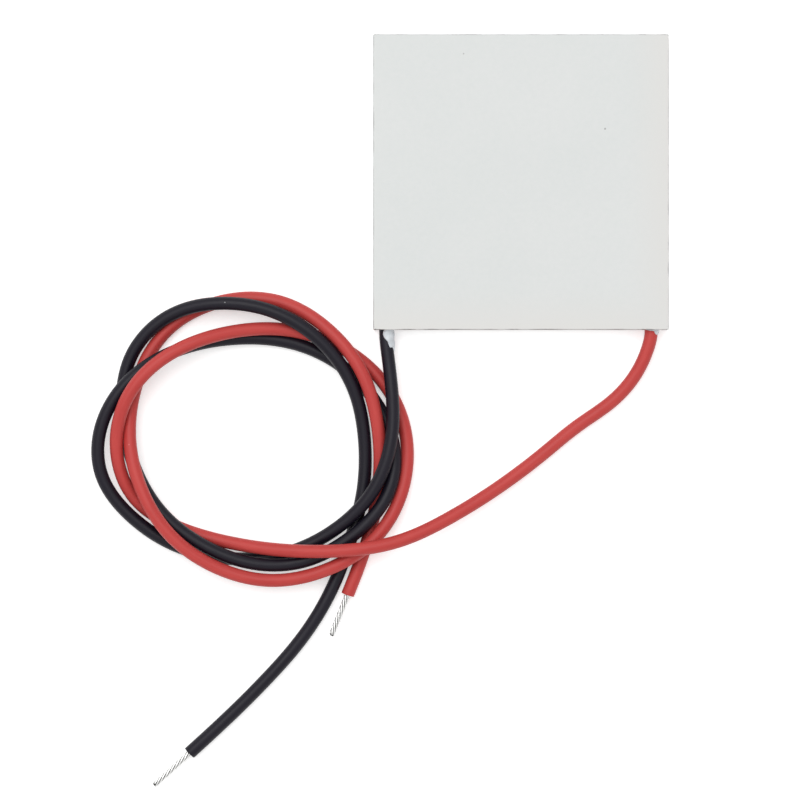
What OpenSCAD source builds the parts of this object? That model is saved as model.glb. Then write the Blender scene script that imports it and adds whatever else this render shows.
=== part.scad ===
// Thermoelectric cooling module. Two square ceramic plates hold couples of
// semiconductor legs between them, wired in series by copper tabs, with a bead of
// silicone round the edge and one black and one red lead.
// Millimetres. The hot plate lies on z = 0 and the cold plate faces up. The leads
// leave at the front edge, at -Y, and lie in a loose coil beside the module.

/* [Plates] */
// Side of the square ceramic plates
plate_w = 40; // [36:1:50]
// Thickness of each ceramic plate
plate_t = 0.75; // [0.5:0.05:1.2]

/* [Couples] */
// Legs along each side of the array
legs_across = 16; // [8:2:16]
// Side of a square leg
leg_w = 1.4; // [1:0.1:1.6]
// Height of a leg
leg_h = 1.6; // [1.3:0.1:3]
// Thickness of the copper tabs
tab_t = 0.3; // [0.2:0.05:0.5]
// How far a tab reaches past its legs on every side
tab_overhang = 0.1; // [0.05:0.05:0.2]
// Thickness of the solder between a tab and its legs
solder_t = 0.05; // [0.03:0.01:0.1]

/* [Edge seal] */
// Width of the silicone bead
seal_w = 0.8; // [0.5:0.1:1.2]
// How far the bead lies in from the plates' edges
seal_inset = 0.3; // [0.1:0.1:0.8]
// Clearance between the bead and the nearest tabs
seal_gap = 0.1; // [0.05:0.05:0.5]
// Radius of the bead's outer corners
seal_corner_r = 0.6; // [0.2:0.1:1]

/* [Leads] */
// Diameter of a lead over its insulation
lead_d = 1.8; // [1.2:0.1:2]
// Diameter of the tinned conductor
conductor_d = 0.8; // [0.5:0.1:0.9]
// Bare length at the end of the black lead
black_strip_l = 6.5; // [3:0.5:12]
// Bare length at the end of the red lead
red_strip_l = 6; // [3:0.5:12]
// Diameter of one strand of the conductor
strand_d = 0.26; // [0.2:0.02:0.36]
// Strands that show round the outside of the conductor
strand_count = 6; // [4:1:7]
// Length over which the strands make one full turn
strand_lay = 5; // [3:0.5:10]

/* [Lead joints] */
// Length that a lead runs straight out of the module
lead_stub_l = 1.5; // [1:0.25:3]
// How far each lead sits beside the middle of its pad
lead_offset_x = -0.3; // [-0.3:0.1:0.3]
// Solder above the conductor at its joint
joint_cover = 0.15; // [0.05:0.05:0.2]
// Clearance between the joint and the solder of the next leg
joint_gap = 0.2; // [0.1:0.05:0.5]
// Thickest place of the sealant on the black lead
black_sealant_t = 0.4; // [0.15:0.05:0.6]
// Thickest place of the sealant on the red lead
red_sealant_t = 0.3; // [0.15:0.05:0.4]

/* [Hidden] */
// Heights from the hot face up
gap_h = 2 * tab_t + 2 * solder_t + leg_h;
hot_solder_z = plate_t + tab_t;
leg_z = hot_solder_z + solder_t;
cold_solder_z = leg_z + leg_h;
cold_tab_z = cold_solder_z + solder_t;
cold_plate_z = plate_t + gap_h;
lead_z = plate_t + gap_h / 2;

// The array fills the plates inside the bead
edge_margin = seal_inset + seal_w + seal_gap + tab_overhang;
pitch = (plate_w - 2 * edge_margin - leg_w) / (legs_across - 1);
last = legs_across - 1;
tab_w = leg_w + 2 * tab_overhang;
tab_l = pitch + tab_w;

// Where the leads come out: at the first and the last column
black_pad_x = -last / 2 * pitch;
red_pad_x = last / 2 * pitch;
black_x = black_pad_x + lead_offset_x;
red_x = red_pad_x + lead_offset_x;
plate_edge_y = -plate_w / 2;
seal_face_y = plate_edge_y + seal_inset;
seal_back_y = seal_face_y + seal_w;
joint_front_y = leg_y(0) - leg_w / 2;
joint_back_y = leg_y(1) - tab_w / 2 - joint_gap;

// Points that pull on each lead's smooth centre line, from its straight stub
// to its cut end. Each lead makes two turns of the coil, over and under itself
// and the other lead, and its lowest stretches lie on z = 0.
BLACK_ROUTE = [
    [-17.5, -27, 2.9], [-17, -34.5, 3.7], [-19.5, -42, 3.5], [-24.5, -47, 2.4],
    [-31, -50.5, 1.3], [-38.5, -51.5, 1.0], [-46, -50, 1.3], [-52, -46.5, 1.7],
    [-57.5, -40.5, 2.3], [-57.5, -33, 3.1], [-53.5, -26.5, 3.6], [-47, -22.5, 2.8],
    [-40, -21, 1.6], [-32.5, -21, 0.8], [-25.5, -23.5, 1.0], [-20, -28.5, 0.8],
    [-16.5, -35.5, 1.6], [-17.5, -43, 3.0], [-23, -48.5, 2.9], [-29.5, -52, 2.6],
    [-37, -52, 3.0], [-44, -49, 3.1], [-49.5, -44.5, 2.7], [-53, -38, 1.4],
    [-54.5, -30.5, 0.8], [-53.5, -23, 1.2], [-48, -17.5, 2.4], [-41, -16, 3.1],
    [-33.5, -17, 3.5], [-27, -21, 3.4], [-22.5, -27, 2.6], [-21, -34, 1.6],
    [-21, -41.5, 1.0], [-23, -48.5, 0.9], [-25.5, -55.5, 0.9], [-29.5, -62, 0.9],
    [-34.5, -67.5, 0.9], [-39.5, -72.5, 0.9], [-45, -77.5, 0.9]
];
RED_ROUTE = [
    [16, -26, 1.1], [12.5, -30, 0.9], [7.5, -33, 0.9], [3, -37, 1.0],
    [-3, -41.5, 1.7], [-9.5, -45.5, 3.0], [-16.5, -49, 4.5], [-24, -50, 5.1],
    [-32, -50, 3.8], [-39.5, -49, 1.8], [-47, -47, 0.6], [-53.5, -43, 1.4],
    [-55.5, -35, 3.6], [-53, -27.5, 5.2], [-47, -22.5, 5.0], [-39.5, -20, 3.4],
    [-31.5, -19.5, 1.8], [-24, -22, 0.9], [-18, -27, 0.9], [-15, -34, 0.9],
    [-15.5, -42, 1.5], [-19.5, -49, 2.8], [-26.5, -53, 3.2], [-34, -54.5, 3.2],
    [-41.5, -52.5, 3.6], [-48, -48, 4.4], [-52, -41, 4.2], [-53.5, -33.5, 2.9],
    [-52, -25.5, 1.2], [-48, -19, 0.8], [-40.5, -15.5, 1.1], [-32.5, -15.5, 1.8],
    [-26, -19.5, 2.7], [-21, -25.5, 3.4], [-19, -33.5, 2.8], [-19, -41, 1.1],
    [-20.5, -48.5, 0.9], [-23.5, -56, 0.9]
];

LEAD_SIDES = 8;
STRAND_SIDES = 6;
RINGS_PER_POINT = 2;
ROUND = 48;

COLUMN_NAMES = [for (c = [0:last]) str("column_", c + 1)];

CERAMIC = "#E3E5E3";
SILICONE = "#DDE2E4";
COPPER = "#C4794B";
SOLDER = "#B9BDC0";
P_TYPE = "#6E7278";
N_TYPE = "#84888C";
BLACK_SILICONE = "#343235";
RED_SILICONE = "#BD4E4C";
TINNED = "#C9CBCC";

// ---- places in the array ----

function leg_x(c) = (c - last / 2) * pitch;
function leg_y(r) = (r - last / 2) * pitch;

// The two front corner places hold the lead joints and have no leg
function has_leg(c, r) = !(r == 0 && (c == 0 || c == last));

// Legs of the two kinds take turns, so every tab joins one of each
function is_p_type(c, r) = (c + r) % 2 == 1;

// ---- plates, tabs and legs ----

module plate(z) {
    color(CERAMIC)
        translate([-plate_w / 2, -plate_w / 2, z])
            cube([plate_w, plate_w, plate_t]);
}

module block(x, y, z, size) {
    translate([x - size[0] / 2, y - size[1] / 2, z])
        cube(size);
}

// A slab with the outline of one tab that joins rows r and r + 1 of a column
module row_tab(c, r, z, t) {
    block(leg_x(c), leg_y(r + 0.5), z, [tab_w, tab_l, t]);
}

// A slab with the outline of one tab that joins columns c and c + 1 of a row
module turn_tab(c, r, z, t) {
    block(leg_x(c + 0.5), leg_y(r), z, [tab_l, tab_w, t]);
}

// Tabs on the hot plate, without the two lead pads
module hot_tab_outlines(z, t) {
    for (c = [0:last], r = [0:2:last])
        if (has_leg(c, r))
            row_tab(c, r, z, t);
}

module cold_row_tab_outlines(z, t) {
    for (c = [0:last], r = [1:2:last - 2])
        row_tab(c, r, z, t);
}

// Tabs that carry the current from one column to the next
module far_turn_outlines(z, t) {
    for (c = [0:2:last])
        turn_tab(c, last, z, t);
}

module lead_side_turn_outlines(z, t) {
    for (c = [1:2:last - 2])
        turn_tab(c, 0, z, t);
}

module hot_side_plate() {
    plate(0);
}

module cold_side_plate() {
    plate(cold_plate_z);
}

module hot_side_tabs() {
    color(COPPER)
        hot_tab_outlines(plate_t, tab_t);
}

module cold_side_tabs() {
    color(COPPER)
        cold_row_tab_outlines(cold_tab_z, tab_t);
}

module far_side_turn_tabs() {
    color(COPPER)
        far_turn_outlines(cold_tab_z, tab_t);
}

module lead_side_turn_tabs() {
    color(COPPER)
        lead_side_turn_outlines(cold_tab_z, tab_t);
}

module lead_pad(c) {
    color(COPPER)
        row_tab(c, 0, plate_t, tab_t);
}

module hot_side_solder() {
    color(SOLDER) {
        hot_tab_outlines(hot_solder_z, solder_t);
        for (c = [0, last])
            block(leg_x(c), leg_y(1), hot_solder_z, [tab_w, tab_w, solder_t]);
    }
}

module cold_side_solder() {
    color(SOLDER) {
        cold_row_tab_outlines(cold_solder_z, solder_t);
        far_turn_outlines(cold_solder_z, solder_t);
        lead_side_turn_outlines(cold_solder_z, solder_t);
    }
}

module legs(c, p_type) {
    color(p_type ? P_TYPE : N_TYPE)
        for (r = [0:last])
            if (has_leg(c, r) && is_p_type(c, r) == p_type)
                block(leg_x(c), leg_y(r), leg_z, [leg_w, leg_w, leg_h]);
}

// ---- edge seal ----

module rounded_square(side, r) {
    square([side - 2 * r, side], center = true);
    square([side, side - 2 * r], center = true);
    for (x = [-1, 1], y = [-1, 1])
        translate([x, y] * (side / 2 - r))
            circle(r, $fn = ROUND);
}

module edge_seal() {
    outer = plate_w - 2 * seal_inset;
    color(SILICONE)
        difference() {
            translate([0, 0, plate_t])
                linear_extrude(gap_h)
                    difference() {
                        rounded_square(outer, seal_corner_r);
                        square(outer - 2 * seal_w, center = true);
                    }
            for (x = [black_x, red_x])
                translate([x, seal_back_y + seal_gap, lead_z])
                    rotate([90, 0, 0])
                        cylinder(d = lead_d, h = seal_w + 2 * seal_gap, $fn = ROUND);
        }
}

// ---- leads ----

function unit(v) = v / norm(v);

// Place at t, from 0 to 1, on the uniform cubic B-spline span that four points pull on
function span_point(a, b, c, d, t) =
    (pow(1 - t, 3) * a + (3 * pow(t, 3) - 6 * t * t + 4) * b
     + (1 + 3 * t + 3 * t * t - 3 * pow(t, 3)) * c + pow(t, 3) * d) / 6;

// The spline starts and ends at its end points, because each end is mirrored
function smooth_line(points) =
    let (
        n = len(points),
        p = concat([2 * points[0] - points[1]], points, [2 * points[n - 1] - points[n - 2]])
    )
    [
        for (i = [0:n - 2], k = [0:RINGS_PER_POINT - 1])
            span_point(p[i], p[i + 1], p[i + 2], p[i + 3], k / RINGS_PER_POINT),
        points[n - 1]
    ];

// From the seal's inner face straight out to the plates' edge, and then along the route
function lead_line(x, route) =
    concat(
        [[x, seal_back_y, lead_z], [x, seal_face_y, lead_z]],
        smooth_line(concat(
            [[x, plate_edge_y, lead_z], [x, plate_edge_y - lead_stub_l, lead_z]],
            route
        ))
    );

function heading(line, i) = unit(line[min(i + 1, len(line) - 1)] - line[max(i - 1, 0)]);

// Corner k of the lead's outline round place i of its line, lifted off it by t
function corner(line, i, k, t = 0) =
    let (
        ahead = heading(line, i),
        side = unit(cross(ahead, [0, 0, 1])),
        up = cross(side, ahead),
        a = (k + 0.5) * 360 / LEAD_SIDES
    )
    line[i] + (lead_d / 2 + t) * (cos(a) * side + sin(a) * up);

// Closed solid through rings of n corners each. Either end is closed by the faces of
// cap, which are convex and name a ring's corners
module skin(rings, cap) {
    n = len(rings[0]);
    rows = len(rings);
    sides = [
        for (i = [0:rows - 2], k = [0:n - 1])
            let (a = i * n + k, b = i * n + (k + 1) % n)
            each [[a, b, b + n], [a, b + n, a + n]]
    ];
    front = [for (face = cap) [for (j = [len(face) - 1:-1:0]) face[j]]];
    back = [for (face = cap) [for (k = face) (rows - 1) * n + k]];
    polyhedron([for (ring = rings) each ring], concat(sides, front, back));
}

module lead(line) {
    round = [for (k = [0:LEAD_SIDES - 1]) k];
    skin([for (i = [0:len(line) - 1]) [for (k = round) corner(line, i, k)]], [round]);
}

// Bare conductor inside the module, on its way into the joint
module tail(x) {
    color(TINNED)
        translate([x, joint_back_y - joint_gap, lead_z])
            rotate([90, 0, 0])
                cylinder(d = conductor_d, h = joint_back_y - joint_gap - seal_back_y, $fn = ROUND);
}

// Solder that holds the tail on its pad, wide at the pad and round over the tail
module joint(pad_x) {
    rise = lead_z - hot_solder_z;
    r = conductor_d / 2 + joint_cover;
    foot = leg_w / 2;
    color(SOLDER)
        difference() {
            translate([pad_x, joint_back_y, hot_solder_z])
                rotate([90, 0, 0])
                    linear_extrude(joint_back_y - joint_front_y) {
                        polygon([
                            [-foot, 0], [foot, 0],
                            [lead_offset_x + r, rise], [lead_offset_x - r, rise]
                        ]);
                        translate([lead_offset_x, rise])
                            circle(r, $fn = ROUND);
                    }
            tail(pad_x + lead_offset_x);
        }
}

// Twisted bare strands past the cut end of a lead
module strands(line, length) {
    ahead = heading(line, len(line) - 1);
    color(TINNED)
        translate(line[len(line) - 1])
            rotate([0, 90, atan2(ahead[1], ahead[0])])
                linear_extrude(length, twist = 360 * length / strand_lay, slices = 12) {
                    circle(d = conductor_d - strand_d, $fn = STRAND_SIDES);
                    for (k = [1:strand_count])
                        rotate(k * 360 / strand_count)
                            translate([(conductor_d - strand_d) / 2, 0])
                                circle(d = strand_d, $fn = STRAND_SIDES);
                }
}

// Smear of silicone on one side of a lead, from the seal to just outside the module.
// first is the lead's corner at which it starts, and thickness its height at each ring
module sealant(line, first, thickness) {
    color(SILICONE)
        skin([
            for (i = [0:len(thickness) - 1])
                [
                    corner(line, i + 1, first),
                    corner(line, i + 1, first + 1, thickness[i]),
                    corner(line, i + 1, first + 2, thickness[i]),
                    corner(line, i + 1, first + 3),
                    corner(line, i + 1, first + 2), corner(line, i + 1, first + 1)
                ]
        ], [[0, 1, 5], [1, 2, 4, 5], [2, 3, 4]]);
}

black_line = lead_line(black_x, BLACK_ROUTE);
red_line = lead_line(red_x, RED_ROUTE);

module black_lead() {
    color(BLACK_SILICONE)
        lead(black_line);
}

module red_lead() {
    color(RED_SILICONE)
        lead(red_line);
}

hot_side_plate();
cold_side_plate();
edge_seal();
hot_side_tabs();
cold_side_tabs();
far_side_turn_tabs();
lead_side_turn_tabs();
lead_pad(0);  // black_lead_pad
lead_pad(last);  // red_lead_pad
hot_side_solder();
cold_side_solder();
for (c = [0:last]) {
    legs(c, true);
    legs(c, false);
}
black_lead();
red_lead();
tail(black_x);  // black_lead_tail
tail(red_x);  // red_lead_tail
joint(black_pad_x);  // black_lead_joint
joint(red_pad_x);  // red_lead_joint
strands(black_line, black_strip_l);  // black_lead_strands
strands(red_line, red_strip_l);  // red_lead_strands
sealant(black_line, 2, black_sealant_t * [0.6, 0.8, 1, 0.5]);  // black_lead_sealant
sealant(red_line, 1, red_sealant_t * [0.7, 1, 0.7]);  // red_lead_sealant
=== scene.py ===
"""Thermoelectric cooling module: two ceramic plates with couples of semiconductor
legs between them, a bead of silicone round the edge, and a black and a red lead that
lie in a loose coil beside it. Metres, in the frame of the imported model: the hot plate
lies on z = 0, the cold plate faces up and the leads leave at -Y."""
import bmesh
import bpy
import numpy as np
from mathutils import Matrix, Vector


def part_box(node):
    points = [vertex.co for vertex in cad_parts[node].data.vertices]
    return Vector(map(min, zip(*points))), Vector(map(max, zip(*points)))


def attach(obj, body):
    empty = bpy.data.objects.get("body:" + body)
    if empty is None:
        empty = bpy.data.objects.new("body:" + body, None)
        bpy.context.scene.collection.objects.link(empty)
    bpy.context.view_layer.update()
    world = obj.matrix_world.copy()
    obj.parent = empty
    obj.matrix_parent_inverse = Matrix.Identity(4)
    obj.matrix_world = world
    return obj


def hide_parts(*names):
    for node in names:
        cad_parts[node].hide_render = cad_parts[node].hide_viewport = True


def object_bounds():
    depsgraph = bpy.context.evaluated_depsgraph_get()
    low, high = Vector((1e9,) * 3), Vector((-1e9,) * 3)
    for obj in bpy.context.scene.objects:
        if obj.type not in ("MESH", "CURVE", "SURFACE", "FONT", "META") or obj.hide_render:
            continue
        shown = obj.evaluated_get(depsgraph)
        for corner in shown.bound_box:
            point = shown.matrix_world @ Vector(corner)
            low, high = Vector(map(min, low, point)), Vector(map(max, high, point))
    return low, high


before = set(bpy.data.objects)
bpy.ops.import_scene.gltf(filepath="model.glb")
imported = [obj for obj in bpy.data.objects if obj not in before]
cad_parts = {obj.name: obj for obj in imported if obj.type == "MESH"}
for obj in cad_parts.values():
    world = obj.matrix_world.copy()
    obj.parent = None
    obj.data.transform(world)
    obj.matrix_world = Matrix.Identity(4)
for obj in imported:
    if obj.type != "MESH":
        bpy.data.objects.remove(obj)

CAD_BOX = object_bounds()
scene = bpy.context.scene


# ---- camera, light and table ----
# A long lens looks straight down. Even studio light comes from all round, with one
# large soft lamp toward the far left, and the module lies on plain white card.

EYE = (-0.01636, -0.0295, 0.6048)
LENS, SENSOR = 200, 36
NEAREST, FARTHEST = 0.01, 20
LAMP_PLACE, LAMP_SIZE, LAMP_WATTS = (-0.2, 0.3, 1.0), 0.9, 6.0
ROOM_STRENGTH, ROOM_COLOUR = 0.62, (1.0, 1.0, 0.995, 1)
CARD_REACH, CARD_DROP = 1.5, 0.00005
CARD_WHITE, CARD_GLOW = 0.93, 0.42

camera_data = bpy.data.cameras.new("camera")
camera_data.lens, camera_data.sensor_width = LENS, SENSOR
camera_data.clip_start, camera_data.clip_end = NEAREST, FARTHEST
camera = bpy.data.objects.new("camera", camera_data)
camera.location = EYE
scene.collection.objects.link(camera)
scene.camera = camera
scene.view_settings.view_transform = "Standard"

lamp_data = bpy.data.lights.new("soft_lamp", "AREA")
lamp_data.shape, lamp_data.size, lamp_data.energy = "DISK", LAMP_SIZE, LAMP_WATTS
lamp = bpy.data.objects.new("soft_lamp", lamp_data)
lamp.location = LAMP_PLACE
lamp.rotation_mode = "QUATERNION"
lamp.rotation_quaternion = (-lamp.location).to_track_quat("-Z", "Y")
lamp.visible_camera = False
scene.collection.objects.link(lamp)


def feed(tree, term, into):
    """Gives an input socket its value: another node's output, or a plain value."""
    if isinstance(term, bpy.types.NodeSocket):
        tree.links.new(term, into)
    else:
        into.default_value = term


def worked(tree, operation, *terms):
    """Result of a Math node. Each term is a socket or a number."""
    node = tree.nodes.new("ShaderNodeMath")
    node.operation = operation
    for term, into in zip(terms, node.inputs):
        feed(tree, term, into)
    return node.outputs[0]


def seen_directly(tree):
    """1 for a ray from the camera, off gloss or through glass, and 0 for any other."""
    path = tree.nodes.new("ShaderNodeLightPath")
    camera_or_gloss = worked(
        tree, "MAXIMUM", path.outputs["Is Camera Ray"], path.outputs["Is Glossy Ray"])
    return worked(tree, "MAXIMUM", camera_or_gloss, path.outputs["Is Transmission Ray"])


world = bpy.data.worlds.new("room")
world.use_nodes = True
scene.world = world
tree = world.node_tree
tree.nodes.clear()
pick = tree.nodes.new("ShaderNodeMixShader")
feed(tree, seen_directly(tree), pick.inputs["Fac"])
for strength, into in ((ROOM_STRENGTH, pick.inputs[1]), (1.0, pick.inputs[2])):
    node = tree.nodes.new("ShaderNodeBackground")
    node.inputs["Color"].default_value = ROOM_COLOUR
    node.inputs["Strength"].default_value = strength
    feed(tree, node.outputs[0], into)
feed(tree, pick.outputs[0], tree.nodes.new("ShaderNodeOutputWorld").inputs["Surface"])

card_mesh = bpy.data.meshes.new("card")
card_mesh.from_pydata(
    [(x * CARD_REACH, y * CARD_REACH, CAD_BOX[0].z - CARD_DROP)
     for x, y in ((-1, -1), (1, -1), (1, 1), (-1, 1))], [], [(0, 1, 2, 3)])
card = bpy.data.objects.new("card", card_mesh)
scene.collection.objects.link(card)

white_card = bpy.data.materials.new("white_card")
white_card.use_nodes = True
tree = white_card.node_tree
tree.nodes.clear()
paper = tree.nodes.new("ShaderNodeBsdfDiffuse")
paper.inputs["Color"].default_value = (CARD_WHITE, CARD_WHITE, CARD_WHITE, 1)
glow = tree.nodes.new("ShaderNodeEmission")
strength = worked(tree, "MULTIPLY", seen_directly(tree), CARD_GLOW)
feed(tree, strength, glow.inputs["Strength"])
both = tree.nodes.new("ShaderNodeAddShader")
feed(tree, paper.outputs[0], both.inputs[0])
feed(tree, glow.outputs[0], both.inputs[1])
feed(tree, both.outputs[0], tree.nodes.new("ShaderNodeOutputMaterial").inputs["Surface"])
card.data.materials.append(white_card)


# ---- leads ----
# Two silicone-insulated leads, 1.8 mm over the rubber and about 290 mm long. Each
# comes straight out of the bead at the module's front edge, makes two turns of the
# coil over and under itself and the other lead, and ends in a square cut.

LEAD_D, STUB, LEAD_LENGTH = 0.0018, 0.0015, 0.288
RINGS_PER_POINT, RINGS_IN_BEAD, LEAD_SIDES = 10, 7, 28
LEAD_UNEVEN = 0.004
CUT_ROUND, CUT_RINGS, BORE_D, BORE_DEPTH = 0.00007, 5, 0.00086, 0.0006
BARE_D, STRANDS, STRAND_D, LAY = 0.0008, 6, 0.00025, 0.005
STRAND_SIDES, STRAND_RINGS, TIP_RINGS, TIP_SHARE = 12, 72, 7, 0.03
SHORTEST_BY = 0.00025

# Points that pull on each lead's smooth centre line, in millimetres
BLACK_ROUTE = np.array([
    [-17.5, -27, 2.9], [-17, -34.5, 3.7], [-19.5, -42, 3.5], [-24.5, -47, 2.4],
    [-31, -50.5, 1.3], [-38.5, -51.5, 1.0], [-46, -50, 1.3], [-52, -46.5, 1.7],
    [-57.5, -40.5, 2.3], [-57.5, -33, 3.1], [-53.5, -26.5, 3.6], [-47, -22.5, 2.8],
    [-40, -21, 1.6], [-32.5, -21, 0.8], [-25.5, -23.5, 1.0], [-20, -28.5, 0.8],
    [-16.5, -35.5, 1.6], [-17.5, -43, 3.0], [-23, -48.5, 2.9], [-29.5, -52, 2.6],
    [-37, -52, 3.0], [-44, -49, 3.1], [-49.5, -44.5, 2.7], [-53, -38, 1.4],
    [-54.5, -30.5, 0.8], [-53.5, -23, 1.2], [-48, -17.5, 2.4], [-41, -16, 3.1],
    [-33.5, -17, 3.5], [-27, -21, 3.4], [-22.5, -27, 2.6], [-21, -34, 1.6],
    [-21, -41.5, 1.0], [-23, -48.5, 0.9], [-25.5, -55.5, 0.9], [-29.5, -62, 0.9],
    [-34.5, -67.5, 0.9], [-39.5, -72.5, 0.9], [-45, -77.5, 0.9]]) * 0.001
RED_ROUTE = np.array([
    [16, -26, 1.1], [12.5, -30, 0.9], [7.5, -33, 0.9], [3, -37, 1.0],
    [-3, -41.5, 1.7], [-9.5, -45.5, 3.0], [-16.5, -49, 4.5], [-24, -50, 5.1],
    [-32, -50, 3.8], [-39.5, -49, 1.8], [-47, -47, 0.6], [-53.5, -43, 1.4],
    [-55.5, -35, 3.6], [-53, -27.5, 5.2], [-47, -22.5, 5.0], [-39.5, -20, 3.4],
    [-31.5, -19.5, 1.8], [-24, -22, 0.9], [-18, -27, 0.9], [-15, -34, 0.9],
    [-15.5, -42, 1.5], [-19.5, -49, 2.8], [-26.5, -53, 3.2], [-34, -54.5, 3.2],
    [-41.5, -52.5, 3.6], [-48, -48, 4.4], [-52, -41, 4.2], [-53.5, -33.5, 2.9],
    [-52, -25.5, 1.2], [-48, -19, 0.8], [-40.5, -15.5, 1.1], [-32.5, -15.5, 1.8],
    [-26, -19.5, 2.7], [-21, -25.5, 3.4], [-19, -33.5, 2.8], [-19, -41, 1.1],
    [-20.5, -48.5, 0.9], [-23.5, -56, 0.9]]) * 0.001

PLATE_LOW, PLATE_HIGH = (np.array(c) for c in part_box("cold_side_plate"))
HOT_LOW, HOT_HIGH = (np.array(c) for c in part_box("hot_side_plate"))
BEAD_LOW, BEAD_HIGH = (np.array(c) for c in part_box("edge_seal"))
BEAD_BACK_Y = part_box("black_lead_tail")[0].y


def smooth_line(points):
    """Uniform cubic B-spline: each span is the mean of four neighbouring points,
    weighted by (1-t)^3, 3t^3-6t^2+4, 1+3t+3t^2-3t^3 and t^3 over six. Both ends are
    mirrored, so the line starts and ends at its end points."""
    p = np.vstack([2 * points[0] - points[1], points, 2 * points[-1] - points[-2]])
    t = (np.arange(RINGS_PER_POINT) / RINGS_PER_POINT)[:, None]
    pull = [(1 - t) ** 3, 3 * t ** 3 - 6 * t ** 2 + 4,
            1 + 3 * t + 3 * t ** 2 - 3 * t ** 3, t ** 3]
    spans = len(points) - 1
    line = sum(w[None] * p[i:i + spans][:, None] for i, w in enumerate(pull)) / 6
    return np.vstack([line.reshape(-1, 3), points[-1]])


def lead_line(tail, route):
    """Centre line of a lead: from the bead's inner face straight out past the plates'
    edge, and then along its route."""
    low, high = (np.array(c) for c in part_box(tail))
    x, z = (low[0] + high[0]) / 2, (low[2] + high[2]) / 2
    edge_y = PLATE_LOW[1]
    inside = np.linspace(
        [x, BEAD_BACK_Y, z], [x, edge_y, z], RINGS_IN_BEAD, endpoint=False)
    start = [[x, edge_y, z], [x, edge_y - STUB, z]]
    return np.vstack([inside, smooth_line(np.vstack([start, route]))])


def distance_along(line):
    """Distance from a line's start to each of its points: the running sum of the
    lengths between neighbours."""
    return np.r_[0, np.cumsum(np.linalg.norm(np.diff(line, axis=0), axis=1))]


def frames(line):
    """Forward, side and up directions along a line, or along several at once: side is
    forward x vertical and up is side x forward, each made one long."""
    ahead = np.gradient(line, axis=-2)
    ahead /= np.linalg.norm(ahead, axis=-1, keepdims=True)
    side = np.cross(ahead, [0, 0, 1])
    side /= np.linalg.norm(side, axis=-1, keepdims=True)
    return ahead, side, np.cross(side, ahead)


def waves(u, seed, count, low, high):
    """Smooth unevenness between about -1 and 1: a sum of sines of u with seeded
    frequencies and phases, divided by the root of twice their number."""
    dice = np.random.default_rng(seed)
    f = dice.uniform(low, high, count)
    phase = dice.uniform(0, 2 * np.pi, count)
    return np.sin(2 * np.pi * f * u[..., None] + phase).sum(-1) / np.sqrt(count * 2)


def circle(corners):
    """Angles of that many corners spread evenly round a circle."""
    return np.arange(corners) * 2 * np.pi / corners


def tube_faces(rows, sides):
    """Quads between neighbouring rings of a tube whose rings have that many corners."""
    i, k = np.meshgrid(np.arange(rows - 1) * sides, np.arange(sides), indexing="ij")
    n = (k + 1) % sides
    return np.stack([i + k, i + k + sides, i + n + sides, i + n], -1).reshape(-1, 4)


def solid(name, points, faces, lay=None):
    """Mesh object at the origin from corner points and quads. Corners that meet are
    merged and the faces turned outward. lay, three numbers for each corner that say
    where it lies round and along the piece, is kept as an attribute."""
    mesh = bpy.data.meshes.new(name)
    mesh.from_pydata(points.tolist(), [], faces.tolist())
    if lay is not None:
        mesh.attributes.new("lay", "FLOAT_VECTOR", "POINT").data.foreach_set(
            "vector", np.asarray(lay, np.float32).ravel())
    work = bmesh.new()
    work.from_mesh(mesh)
    bmesh.ops.remove_doubles(work, verts=work.verts, dist=1e-8)
    bmesh.ops.recalc_face_normals(work, faces=work.faces)
    work.to_mesh(mesh)
    work.free()
    mesh.shade_smooth()
    piece = bpy.data.objects.new(name, mesh)
    scene.collection.objects.link(piece)
    return piece


def lead(name, line, seed, skew):
    """Rubber tube round a centre line. Its radius is half the lead's diameter times
    one minus a few thousandths of slow waves. At the cut the ring turns over a small
    round, runs in to the bore and back down it, and the cut's face leans by skew
    times the cosine of the angle round the lead and some waves."""
    run = distance_along(line)
    uneven = 1 - LEAD_UNEVEN * (1 + waves(run, seed, 5, 60, 260))
    keep = run < run[-1] - CUT_ROUND

    # The cut's rings: how far each lies past the line's end, its radius and its lean
    bend = np.linspace(0, np.pi / 2, CUT_RINGS)
    rim_ahead = np.r_[CUT_ROUND * (np.sin(bend) - 1), 0, -CUT_ROUND / 2, -BORE_DEPTH]
    rim_radius = np.r_[LEAD_D / 2 - CUT_ROUND * (1 - np.cos(bend)),
                       BORE_D / 2 + CUT_ROUND / 2, BORE_D / 2, BORE_D / 2]
    rim_lean = np.r_[np.linspace(0.3, 1, CUT_RINGS), 1, 1, 0]

    ahead, side, up = (
        np.vstack([v[:1], v[keep], np.repeat(v[-1:], len(rim_ahead) + 1, 0)])
        for v in frames(line))
    past_end = np.r_[rim_ahead, -BORE_DEPTH]
    centre = np.vstack([line[:1], line[keep], line[-1] + past_end[:, None] * ahead[-1]])
    radius = np.r_[0, LEAD_D / 2 * uneven[keep], rim_radius * uneven[-1], 0]
    lean = np.r_[np.zeros(keep.sum() + 1), rim_lean, 0]
    run = np.r_[0, run[keep], run[-1] + past_end]

    a = circle(LEAD_SIDES)
    torn = skew * (np.cos(a - 0.7) + 0.5 * waves(a / (2 * np.pi), seed + 1, 4, 2, 5))
    torn -= torn.max()
    out = np.cos(a)[:, None] * side[:, None] + np.sin(a)[:, None] * up[:, None]
    points = (centre[:, None] + radius[:, None, None] * out
              + (lean[:, None] * torn)[..., None] * ahead[:, None])
    lay = np.stack(np.broadcast_arrays(
        LEAD_D / 2 * np.cos(a), LEAD_D / 2 * np.sin(a), run[:, None]), -1)
    return solid(name, points.reshape(-1, 3), tube_faces(len(centre), LEAD_SIDES),
                 lay.reshape(-1, 3))


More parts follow.
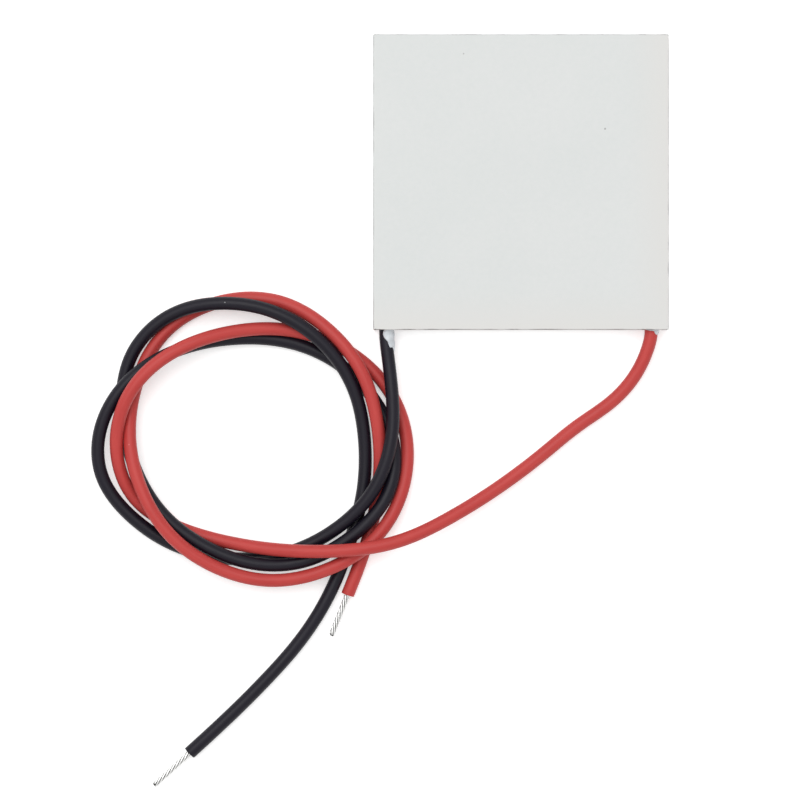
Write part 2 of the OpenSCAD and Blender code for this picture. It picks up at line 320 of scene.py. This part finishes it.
def bare_end(name, line, length, seed):
    """Six round wires laid round a straight one. Wire k's centre is the axis plus the
    lay circle's radius times the cosine and sine of 2 pi (s / lay + k / 6), and each
    wire closes to a round tip: its radius is r times the root of 1 - (1 - d / r)^2 at
    the distance d from its end."""
    ahead, side, up = (v[-1] for v in frames(line))
    root = line[-1] - BORE_DEPTH * ahead
    k = np.arange(STRANDS + 1)[:, None]
    dice = np.random.default_rng(seed)
    reach = length + BORE_DEPTH - dice.uniform(0, SHORTEST_BY, (STRANDS + 1, 1))
    closing = np.sin(np.linspace(0.1, 1, TIP_RINGS) * np.pi / 2)
    part = np.r_[np.linspace(0, 1 - TIP_SHARE, STRAND_RINGS),
                 1 - TIP_SHARE * (1 - closing)]
    s = reach * part
    ring = (BARE_D - STRAND_D) / 2 * np.where(k < STRANDS, 1, 0) * (1 - 0.1 * part ** 6)
    turn = 2 * np.pi * (s / LAY + k / STRANDS)
    axis = (root + s[..., None] * ahead + (ring * np.cos(turn))[..., None] * side
            + (ring * np.sin(turn))[..., None] * up)

    r = STRAND_D / 2
    near_end = np.clip((reach - s) / r, 0, 1)
    radius = (r * np.sqrt(1 - (1 - near_end) ** 2)
              * (1 + 0.03 * waves(s * 1000, seed, 4, 0.3, 1.2)))
    radius[:, 0] = 0
    _, across, over = frames(axis)
    a = circle(STRAND_SIDES)
    points = axis[:, :, None] + radius[..., None, None] * (
        np.cos(a)[:, None] * across[:, :, None] + np.sin(a)[:, None] * over[:, :, None])
    rows = s.shape[1]
    faces = tube_faces(rows, STRAND_SIDES)[None] + k[..., None] * rows * STRAND_SIDES

    arm = points - root
    along = (arm * ahead).sum(-1)
    off_axis = np.linalg.norm(arm - along[..., None] * ahead, axis=-1) / (BARE_D / 2)
    wire = np.broadcast_to(k[..., None] * 1.0, along.shape)
    lay = np.stack([off_axis, along, wire], -1)
    return solid(name, points.reshape(-1, 3), faces.reshape(-1, 4), lay.reshape(-1, 3))


def group(name, ins, outs):
    """Empty shader node group with named sockets, and its input and output nodes. An
    input is (kind, name, value) and an output (kind, name)."""
    made = bpy.data.node_groups.new(name, "ShaderNodeTree")
    for kind, label, value in ins:
        socket = made.interface.new_socket(label, in_out="INPUT", socket_type=kind)
        if value is not None:
            socket.default_value = value
    for kind, label in outs:
        made.interface.new_socket(label, in_out="OUTPUT", socket_type=kind)
    return made, made.nodes.new("NodeGroupInput"), made.nodes.new("NodeGroupOutput")


def mixed(tree, share, base, other, blend="MIX"):
    """A colour with a share of another colour laid over it."""
    node = tree.nodes.new("ShaderNodeMix")
    node.data_type, node.blend_type = "RGBA", blend
    for term, into in ((share, 0), (base, 6), (other, 7)):
        feed(tree, term, node.inputs[into])
    return node.outputs[2]


def ranged(tree, value, low, high, to=(0.0, 1.0), steps="LINEAR"):
    """A value spread so that low and high become the two numbers of to."""
    node = tree.nodes.new("ShaderNodeMapRange")
    node.interpolation_type = steps
    for term, into in ((value, "Value"), (low, "From Min"), (high, "From Max"),
                       (to[0], "To Min"), (to[1], "To Max")):
        feed(tree, term, node.inputs[into])
    return node.outputs["Result"]


# Two colours mixed by soft patches with a finer grain in them, and the grain's height
mottle, given, result = group("mottle", [
    ("NodeSocketVector", "Place", None),
    ("NodeSocketColor", "Colour A", (0.5, 0.5, 0.5, 1)),
    ("NodeSocketColor", "Colour B", (0.5, 0.5, 0.5, 1)),
    ("NodeSocketFloat", "Patch scale", 100.0),
    ("NodeSocketFloat", "Grain scale", 2000.0),
    ("NodeSocketFloat", "Grain share", 0.3)], [
    ("NodeSocketColor", "Colour"),
    ("NodeSocketFloat", "Mask"),
    ("NodeSocketFloat", "Height")])
patches = mottle.nodes.new("ShaderNodeTexNoise")
patches.inputs["Detail"].default_value = 3.0
grain = mottle.nodes.new("ShaderNodeTexNoise")
grain.inputs["Detail"].default_value = 4.0
grain.inputs["Roughness"].default_value = 0.6
for node, scale in ((patches, "Patch scale"), (grain, "Grain scale")):
    feed(mottle, given.outputs["Place"], node.inputs["Vector"])
    feed(mottle, given.outputs[scale], node.inputs["Scale"])
blend = mottle.nodes.new("ShaderNodeMix")
for term, into in ((given.outputs["Grain share"], 0), (patches.outputs["Fac"], 2),
                   (grain.outputs["Fac"], 3)):
    feed(mottle, term, blend.inputs[into])
mask = ranged(mottle, blend.outputs[0], 0.35, 0.65)
tint = mixed(mottle, mask, given.outputs["Colour A"], given.outputs["Colour B"])
feed(mottle, tint, result.inputs["Colour"])
feed(mottle, mask, result.inputs["Mask"])
feed(mottle, grain.outputs["Fac"], result.inputs["Height"])

# A few small specks: the middles of cells whose own random value passes a limit
specks, given, result = group("specks", [
    ("NodeSocketVector", "Place", None),
    ("NodeSocketFloat", "Scale", 500.0),
    ("NodeSocketFloat", "Size", 0.1),
    ("NodeSocketFloat", "Rarity", 0.9)], [
    ("NodeSocketFloat", "Mask")])
cells = specks.nodes.new("ShaderNodeTexVoronoi")
feed(specks, given.outputs["Place"], cells.inputs["Vector"])
feed(specks, given.outputs["Scale"], cells.inputs["Scale"])
own = specks.nodes.new("ShaderNodeSeparateColor")
feed(specks, cells.outputs["Color"], own.inputs["Color"])
near = worked(specks, "LESS_THAN", cells.outputs["Distance"], given.outputs["Size"])
chosen = worked(specks, "GREATER_THAN", own.outputs["Red"], given.outputs["Rarity"])
feed(specks, worked(specks, "MULTIPLY", near, chosen), result.inputs["Mask"])


def finish(name, roughness, metallic=0.0, **more):
    """New material, its tree and its Principled shader, with constants set on it."""
    made = bpy.data.materials.new(name)
    made.use_nodes = True
    shader = made.node_tree.nodes["Principled BSDF"]
    shader.inputs["Roughness"].default_value = roughness
    shader.inputs["Metallic"].default_value = metallic
    for label, value in more.items():
        shader.inputs[label.replace("_", " ")].default_value = value
    return made, made.node_tree, shader


def place_node(tree, attribute=None):
    """Socket with the place on the piece: its own attribute, or Object coordinates."""
    if attribute:
        node = tree.nodes.new("ShaderNodeAttribute")
        node.attribute_name = attribute
        return node.outputs["Vector"]
    return tree.nodes.new("ShaderNodeTexCoord").outputs["Object"]


def stretched(tree, place, scale):
    """The place multiplied by a scale along each axis."""
    node = tree.nodes.new("ShaderNodeMapping")
    node.inputs["Scale"].default_value = scale
    feed(tree, place, node.inputs["Vector"])
    return node.outputs["Vector"]


def place_group(tree, made, place, **values):
    """A copy of a node group in a material, with its own values."""
    node = tree.nodes.new("ShaderNodeGroup")
    node.node_tree = made
    feed(tree, place, node.inputs["Place"])
    for label, value in values.items():
        node.inputs[label.replace("_", " ")].default_value = value
    return node


def rough_from(tree, shader, mask, low, high):
    """Roughness between two values, by a mask."""
    feed(tree, ranged(tree, mask, 0.0, 1.0, (low, high)), shader.inputs["Roughness"])


def bump_from(tree, shader, height, distance):
    """Bump of a height in metres, on the shader's Normal."""
    node = tree.nodes.new("ShaderNodeBump")
    node.inputs["Distance"].default_value = distance
    feed(tree, height, node.inputs["Height"])
    feed(tree, node.outputs["Normal"], shader.inputs["Normal"])


def covered(tree, shader, base, mask, colour):
    """Base colour with a mask of another colour over it."""
    feed(tree, mixed(tree, mask, base, colour), shader.inputs["Base Color"])


def silicone_rubber(name, dark, light, dust, shine):
    """Satin silicone rubber with faint streaks along the lead and a few dust specks."""
    made, tree, shader = finish(name, 0.45, Specular_IOR_Level=shine)
    place = place_node(tree, "lay")
    streaks = place_group(
        tree, mottle, stretched(tree, place, (1, 1, 0.12)), Colour_A=dark,
        Colour_B=light, Patch_scale=1400.0, Grain_scale=9000.0, Grain_share=0.35)
    dots = place_group(tree, specks, place, Scale=420.0, Size=0.055, Rarity=0.86)
    covered(tree, shader, streaks.outputs["Colour"], dots.outputs["Mask"], dust)
    rough_from(tree, shader, streaks.outputs["Mask"], low=0.4, high=0.52)
    bump_from(tree, shader, streaks.outputs["Height"], distance=0.000008)
    return made


def metal(name, dark, light, low, high, patch, grain, depth, groove_shade=None):
    """Metal with soft patches of colour, a fine grain and an uneven shine, rough from
    low to high. On a twisted bundle the wires' sides nearest its axis, in the grooves
    between them, are darkened by a painted shade of a near-black colour."""
    made, tree, shader = finish(name, low, 1.0)
    skin = place_group(tree, mottle, place_node(tree), Colour_A=dark, Colour_B=light,
                       Patch_scale=patch, Grain_scale=grain, Grain_share=0.4)
    if groove_shade:
        # Painted shade: the wires' sides that face the bundle's axis turn near black
        lay = tree.nodes.new("ShaderNodeSeparateXYZ")
        feed(tree, place_node(tree, "lay"), lay.inputs[0])
        painted_shade = ranged(tree, lay.outputs["X"], *GROOVE_SHADE_AT, (1.0, 0.0))
        covered(tree, shader, skin.outputs["Colour"], painted_shade, groove_shade)
    else:
        feed(tree, skin.outputs["Colour"], shader.inputs["Base Color"])
    rough_from(tree, shader, skin.outputs["Mask"], low, high)
    bump_from(tree, shader, skin.outputs["Height"], depth)
    return made


# Where the painted shade in the grooves between the wires fades from full to none, in
# shares of the bundle's radius
GROOVE_SHADE_AT = (0.74, 0.90)

tinned_copper = metal(
    "tinned_copper", (0.60, 0.60, 0.59, 1), (0.86, 0.86, 0.85, 1),
    low=0.14, high=0.30, patch=2200.0, grain=9000.0, depth=0.000008)
twisted_copper = metal(
    "twisted_copper", (0.62, 0.62, 0.61, 1), (0.88, 0.88, 0.87, 1),
    low=0.16, high=0.30, patch=2200.0, grain=9000.0, depth=0.000008,
    # Near-black painted shade in the grooves between the wires
    groove_shade=(0.035, 0.034, 0.033, 1))
black_rubber = silicone_rubber(
    "black_silicone", dark=(0.0048, 0.0036, 0.0090, 1), light=(0.0074, 0.0058, 0.0126, 1),
    dust=(0.20, 0.20, 0.21, 1), shine=0.24)
red_rubber = silicone_rubber(
    "red_silicone", dark=(0.48, 0.045, 0.042, 1), light=(0.55, 0.062, 0.056, 1),
    dust=(0.62, 0.16, 0.14, 1), shine=0.28)

lines = {"black": lead_line("black_lead_tail", BLACK_ROUTE),
         "red": lead_line("red_lead_tail", RED_ROUTE)}
covers, wires = {}, {}
for colour, bare_l, seed, skew, rubber in (
        ("black", 0.0065, 11, 0.00006, black_rubber),
        ("red", 0.006, 23, 0.00004, red_rubber)):
    wire = bare_end(colour + "_bare_end", lines[colour], bare_l, seed)
    wire.data.materials.append(twisted_copper)
    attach(wire, "root")
    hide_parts(colour + "_lead_strands")
    cover = lead(colour + "_insulation", lines[colour], seed, skew)
    cover.data.materials.append(rubber)
    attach(cover, "root")
    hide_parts(colour + "_lead")
    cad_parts[colour + "_lead_tail"].data.materials.clear()
    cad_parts[colour + "_lead_tail"].data.materials.append(tinned_copper)
    covers[colour], wires[colour] = cover, wire


# ---- sealant ----
# White silicone sealant: an uneven bead that closes the gap all round, and a smear of
# it on each lead where it leaves. On the black lead it runs out along the right side.

SMEAR_STEPS, SMEAR_SUNK = 40, 0.00005
BEAD_W = BEAD_BACK_Y - BEAD_LOW[1]
BEAD_STEPS, BEAD_SIDES, BEAD_CORNER = 180, 20, 0.0009
BEAD_WANDER, BEAD_RIPPLE, BEAD_HOLLOW = 0.00006, 0.00003, 0.00010
# Keeps the section's corners off the places where a sine or cosine changes its sign
BEAD_TURN = 0.01


def smear(name, line, reach, left, right, thick, seed):
    """Pad of sealant on a lead. At u along it and v across it a corner lies at the
    angle from left(u) to right(u) round the lead, and stands off the rubber by thick
    times the root of (1 - |2v - 1|^3)(1 - u^4) times one plus slow waves. Its
    underside is the same grid, sunk into the rubber. Angles are in degrees, 0 at the
    lead's left, 90 on top of it and 180 at its right."""
    run = distance_along(line)
    u, v = np.meshgrid(*[np.linspace(0, 1, SMEAR_STEPS)] * 2, indexing="ij")
    length = (reach * (1 + 0.10 * waves(v, seed, 3, 0.5, 1.6))
              - reach * 0.35 * np.abs(2 * v - 1) ** 3)
    s = BEAD_W + u * length
    centre, side, up = (
        np.stack([np.interp(s, run, along) for along in rows.T], -1)
        for rows in (line, *frames(line)[1:]))
    a = np.radians(left(u) + (right(u) - left(u)) * v)
    out = np.cos(a)[..., None] * side + np.sin(a)[..., None] * up
    lumps = 1 + 0.16 * waves(u * 3 + v * 2, seed + 1, 4, 0.4, 1.4)
    t = thick * np.sqrt((1 - np.abs(2 * v - 1) ** 3) * (1 - u ** 4)) * lumps
    base = LEAD_D / 2 - SMEAR_SUNK
    top = centre + (base + (t + SMEAR_SUNK * np.sign(t)))[..., None] * out
    under = centre + base * out

    i, j = np.meshgrid(*[np.arange(SMEAR_STEPS - 1)] * 2, indexing="ij")
    c = i * SMEAR_STEPS + j
    grid = np.stack([c, c + 1, c + SMEAR_STEPS + 1, c + SMEAR_STEPS], -1).reshape(-1, 4)
    below, first = SMEAR_STEPS ** 2, np.arange(SMEAR_STEPS - 1)
    wall = np.stack([first, first + 1, first + 1 + below, first + below], -1)
    faces = np.vstack([grid, grid[:, ::-1] + below, wall])
    return solid(name, np.vstack([top.reshape(-1, 3), under.reshape(-1, 3)]), faces)


def square_outline(half, corner, steps):
    """Round-cornered square: corner arcs joined by straight sides that are cut into
    steps. Gives each place, the outward direction and the distance round."""
    a = np.linspace(0, np.pi / 2, 7)
    arc = np.stack([np.cos(a), np.sin(a)], -1)
    flat = np.linspace(0, 1, steps + 2)[1:-1, None]
    reach = half - corner
    place = np.vstack([reach + corner * arc, [[reach, half]] + flat * [[-2 * reach, 0]]])
    out = np.vstack([arc, np.tile([[0.0, 1.0]], (steps, 1))])
    quarter = np.array([[0, 1], [-1, 0]])
    places, outs = [place], [out]
    for _ in range(3):
        places.append(places[-1] @ quarter)
        outs.append(outs[-1] @ quarter)
    place, out = np.vstack(places), np.vstack(outs)
    gaps = np.linalg.norm(np.diff(place, axis=0, append=place[:1]), axis=1)
    return place, out, np.r_[0, np.cumsum(gaps)[:-1]]


def bead(name, low, high, width, seed):
    """Ring of sealant between the plates. Its section is a rounded oblong, the
    half-width times sign(cos)|cos|^0.5 across and the half-height times
    sign(sin)|sin|^0.25 up. Its outer side is a little hollow, and wanders in and out
    with slow waves and a finer ripple."""
    half = (high[0] - low[0]) / 2
    place, out, run = square_outline(half - width / 2, BEAD_CORNER, BEAD_STEPS)
    turn = run / run[-1]
    wander = (BEAD_WANDER * waves(turn, seed, 9, 6, 40)
              + BEAD_RIPPLE * waves(turn, seed + 1, 9, 60, 160))
    a = circle(BEAD_SIDES) + BEAD_TURN
    across = width / 2 * np.sign(np.cos(a)) * np.abs(np.cos(a)) ** 0.5
    rise = (high[2] - low[2]) / 2 * np.sign(np.sin(a)) * np.abs(np.sin(a)) ** 0.25
    hollow = -BEAD_HOLLOW * np.cos(np.sin(a) * 1.2) * (np.cos(a) > 0)
    outer = np.clip(np.cos(a) * 2, 0, 1)
    offset = across + (wander[:, None] + hollow) * outer
    flat = place[:, None] + offset[..., None] * out[:, None]
    z = np.broadcast_to((low[2] + high[2]) / 2 + rise, flat.shape[:2])
    points = np.concatenate([flat, z[..., None]], -1).reshape(-1, 3)
    faces = tube_faces(len(place) + 1, BEAD_SIDES) % len(points)
    return solid(name, points, faces)


def sealant_finish(name, dark, light, low, high):
    """White silicone sealant, a little waxy, with a skin that isn't quite even."""
    made, tree, shader = finish(name, low, Subsurface_Weight=0.15,
                                Subsurface_Radius=(0.0008, 0.0008, 0.0008))
    skin = place_group(tree, mottle, place_node(tree), Colour_A=dark, Colour_B=light,
                       Patch_scale=500.0, Grain_scale=3500.0, Grain_share=0.35)
    feed(tree, skin.outputs["Colour"], shader.inputs["Base Color"])
    rough_from(tree, shader, skin.outputs["Mask"], low, high)
    bump_from(tree, shader, skin.outputs["Height"], distance=0.00002)
    return made


white_sealant = sealant_finish(
    "white_sealant", (0.58, 0.62, 0.66, 1), (0.71, 0.74, 0.77, 1), low=0.28, high=0.45)
smears = {
    "black": smear(
        "black_lead_smear", lines["black"], reach=0.0032, thick=0.00030, seed=5,
        left=lambda u: 86 - 24 * np.sin(np.pi * np.clip(u / 0.8, 0, 1)) + 20 * u ** 2,
        right=lambda u: 226 - 26 * u),
    "red": smear(
        "red_lead_smear", lines["red"], reach=0.0009, thick=0.00020, seed=8,
        left=lambda u: 25 + 90 * np.clip((u - 0.42) / 0.2, 0, 1),
        right=lambda u: 214 - 18 * u)}
edge_bead = bead("edge_bead", BEAD_LOW, BEAD_HIGH, BEAD_W, 3)
for piece, node in ((smears["black"], "black_lead_sealant"),
                    (smears["red"], "red_lead_sealant"), (edge_bead, "edge_seal")):
    piece.data.materials.append(white_sealant)
    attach(piece, "root")
    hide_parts(node)


# ---- plates ----
# Two white alumina plates, fired flat, ground, scored by a laser in a row of fine
# holes and snapped apart, so the faces are smooth and the edges slightly ragged.

EDGE_STEPS, PLATE_CORNER, EDGE_CHIP, EDGE_RAGGED = 220, 0.00012, 0.00003, 0.00003
FACE_RINGS = np.array([1, 0.1, 0.0035, 0.0025])
SCORE_PITCH, UPRIGHT = 0.00016, 0.4
WARM_FROM, WARM_TO = 0.0135, 0.0215


def plate(name, low, high, scored_top, seed):
    """Square plate with a snapped edge. Each ring of the profile is the outline moved
    in by its own inset plus its share of a raggedness that is never outward: a depth
    times one plus slow and quick waves of the distance round. The rings go from the
    middle of the scored face over the edge to the middle of the other face, and the
    two nearest each middle shrink toward it instead."""
    half, thick = (high[0] - low[0]) / 2, high[2] - low[2]
    place, out, run = square_outline(half, PLATE_CORNER, EDGE_STEPS)
    turn = run / run[-1]
    slow = 1 + waves(turn, seed, 11, 10, 60)
    quick = 1 + waves(turn, seed + 1, 15, 120, 420)

    face = np.zeros(len(FACE_RINGS))
    inset = np.r_[FACE_RINGS * half, EDGE_CHIP * np.array([1, 0.2, 0, 0, 0.2, 1]),
                  FACE_RINGS[::-1] * half]
    depth = np.r_[face, 0, EDGE_CHIP, 0.35 * thick, 0.6 * thick, thick - EDGE_CHIP,
                  thick, face + thick]
    slow_share = np.r_[face, 0.9, 0.9, 0.7, 0.5, 0.3, 0.5, face]
    quick_share = np.r_[face, 0.8, 0.6, 0.3, 0.2, 0.2, 0.3, face]
    ragged = slow_share * slow[:, None] + quick_share * quick[:, None]
    move = inset + EDGE_RAGGED * ragged
    moved = place[:, None] - move[..., None] * out[:, None]
    shrunk = place[:, None] * (1 - inset / half)[:, None]
    inner = inset >= half * FACE_RINGS[1]
    flat = np.where(inner[:, None], shrunk, moved)
    z = high[2] - depth if scored_top else low[2] + depth
    middle = (low[:2] + high[:2]) / 2
    points = np.concatenate(
        [flat + middle, np.broadcast_to(z, flat.shape[:2])[..., None]], -1)

    rows, rings = len(place), len(inset)
    i, j = np.meshgrid(np.arange(rows), np.arange(rings - 1), indexing="ij")
    n = (i + 1) % rows
    here, there = i * rings + j, n * rings + j
    faces = np.stack([here, here + 1, there + 1, there], -1)
    return solid(name, points.reshape(-1, 3), faces.reshape(-1, 4))


def alumina(name, cool, pale, warm, speck):
    """Fired alumina: soft patches and fine grain in near-white, a warmer tone toward
    the right and front edges, rare grey specks, and scored marks down the snapped
    edge. The marks are a wave of x + y, and show where the surface stands upright."""
    made, tree, shader = finish(name, 0.6, Specular_IOR_Level=0.3)
    place = place_node(tree)
    body = place_group(tree, mottle, place, Colour_A=cool, Colour_B=pale,
                       Patch_scale=90.0, Grain_scale=1500.0, Grain_share=0.45)
    axes = tree.nodes.new("ShaderNodeSeparateXYZ")
    feed(tree, place, axes.inputs[0])
    x, y = axes.outputs["X"], axes.outputs["Y"]
    edge = worked(tree, "MAXIMUM", x, worked(tree, "MULTIPLY", y, -1))
    near_edge = ranged(tree, edge, WARM_FROM, WARM_TO, steps="SMOOTHSTEP")
    warmer = mixed(tree, near_edge, body.outputs["Colour"], warm)
    dots = place_group(tree, specks, place, Scale=260.0, Size=0.035, Rarity=0.93)
    covered(tree, shader, warmer, dots.outputs["Mask"], speck)
    rough_from(tree, shader, body.outputs["Mask"], low=0.55, high=0.68)

    round_it = tree.nodes.new("ShaderNodeCombineXYZ")
    feed(tree, worked(tree, "ADD", x, y), round_it.inputs["X"])
    holes = tree.nodes.new("ShaderNodeTexWave")
    holes.inputs["Scale"].default_value = np.pi / (10 * SCORE_PITCH)
    feed(tree, round_it.outputs[0], holes.inputs["Vector"])
    normal = tree.nodes.new("ShaderNodeSeparateXYZ")
    geometry = tree.nodes.new("ShaderNodeNewGeometry")
    feed(tree, geometry.outputs["True Normal"], normal.inputs[0])
    on_edge = worked(
        tree, "LESS_THAN", worked(tree, "ABSOLUTE", normal.outputs["Z"]), UPRIGHT)
    marks = worked(tree, "MULTIPLY", holes.outputs["Fac"], on_edge)
    height = worked(tree, "ADD", marks, body.outputs["Height"])
    bump_from(tree, shader, height, distance=0.000003)
    return made


white_alumina = alumina(
    "white_alumina", cool=(0.680, 0.702, 0.695, 1), pale=(0.716, 0.730, 0.724, 1),
    warm=(0.716, 0.708, 0.690, 1), speck=(0.42, 0.42, 0.41, 1))
for side, low, high, scored_top, seed in (
        ("cold_side", PLATE_LOW, PLATE_HIGH, True, 31),
        ("hot_side", HOT_LOW, HOT_HIGH, False, 47)):
    piece = plate(side + "_ceramic", low, high, scored_top, seed)
    piece.data.shade_flat()
    piece.data.materials.append(white_alumina)
    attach(piece, "root")
    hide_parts(side + "_plate")


# ---- couples ----
# Copper tabs fired onto the plates, solder on them, and rows of bismuth telluride
# legs sawn from p-type and n-type ingots, whose flat crystals catch the light.

copper = metal(
    "copper", (0.72, 0.34, 0.21, 1), (0.86, 0.47, 0.32, 1),
    low=0.26, high=0.44, patch=700.0, grain=6000.0, depth=0.000006)
solder = metal(
    "solder", (0.52, 0.53, 0.55, 1), (0.68, 0.68, 0.69, 1),
    low=0.24, high=0.46, patch=1100.0, grain=5000.0, depth=0.000014)


def telluride(name, dark, light):
    """Sawn bismuth telluride: flat crystal grains, each a shade of its own, under a
    fine saw grain."""
    made, tree, shader = finish(name, 0.4, 0.85)
    place = place_node(tree)
    skin = place_group(tree, mottle, place, Colour_A=dark, Colour_B=light,
                       Patch_scale=1600.0, Grain_scale=8000.0, Grain_share=0.3)
    crystals = tree.nodes.new("ShaderNodeTexVoronoi")
    crystals.inputs["Scale"].default_value = 2600.0
    feed(tree, stretched(tree, place, (1, 1, 0.45)), crystals.inputs["Vector"])
    shade = tree.nodes.new("ShaderNodeSeparateColor")
    feed(tree, crystals.outputs["Color"], shade.inputs["Color"])
    tinted = mixed(
        tree, 0.35, skin.outputs["Colour"], crystals.outputs["Color"], blend="MULTIPLY")
    grey = tree.nodes.new("ShaderNodeHueSaturation")
    grey.inputs["Saturation"].default_value = 0.15
    feed(tree, tinted, grey.inputs["Color"])
    feed(tree, grey.outputs["Color"], shader.inputs["Base Color"])
    rough_from(tree, shader, shade.outputs["Red"], low=0.25, high=0.55)
    bump_from(tree, shader, skin.outputs["Height"], distance=0.000006)
    return made


p_type = telluride("p_type_telluride", (0.17, 0.18, 0.20, 1), (0.30, 0.31, 0.33, 1))
n_type = telluride("n_type_telluride", (0.25, 0.26, 0.27, 1), (0.40, 0.41, 0.42, 1))

# What each word in a solid's name says that it is made of, the first that fits
MADE_OF = {"p_type": p_type, "n_type": n_type, "solder": solder, "joint": solder,
           "tabs": copper, "pad": copper}
for name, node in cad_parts.items():
    fitting = [made for word, made in MADE_OF.items() if word in name]
    if fitting and not node.hide_render:
        node.data.materials.clear()
        node.data.materials.append(fitting[0])
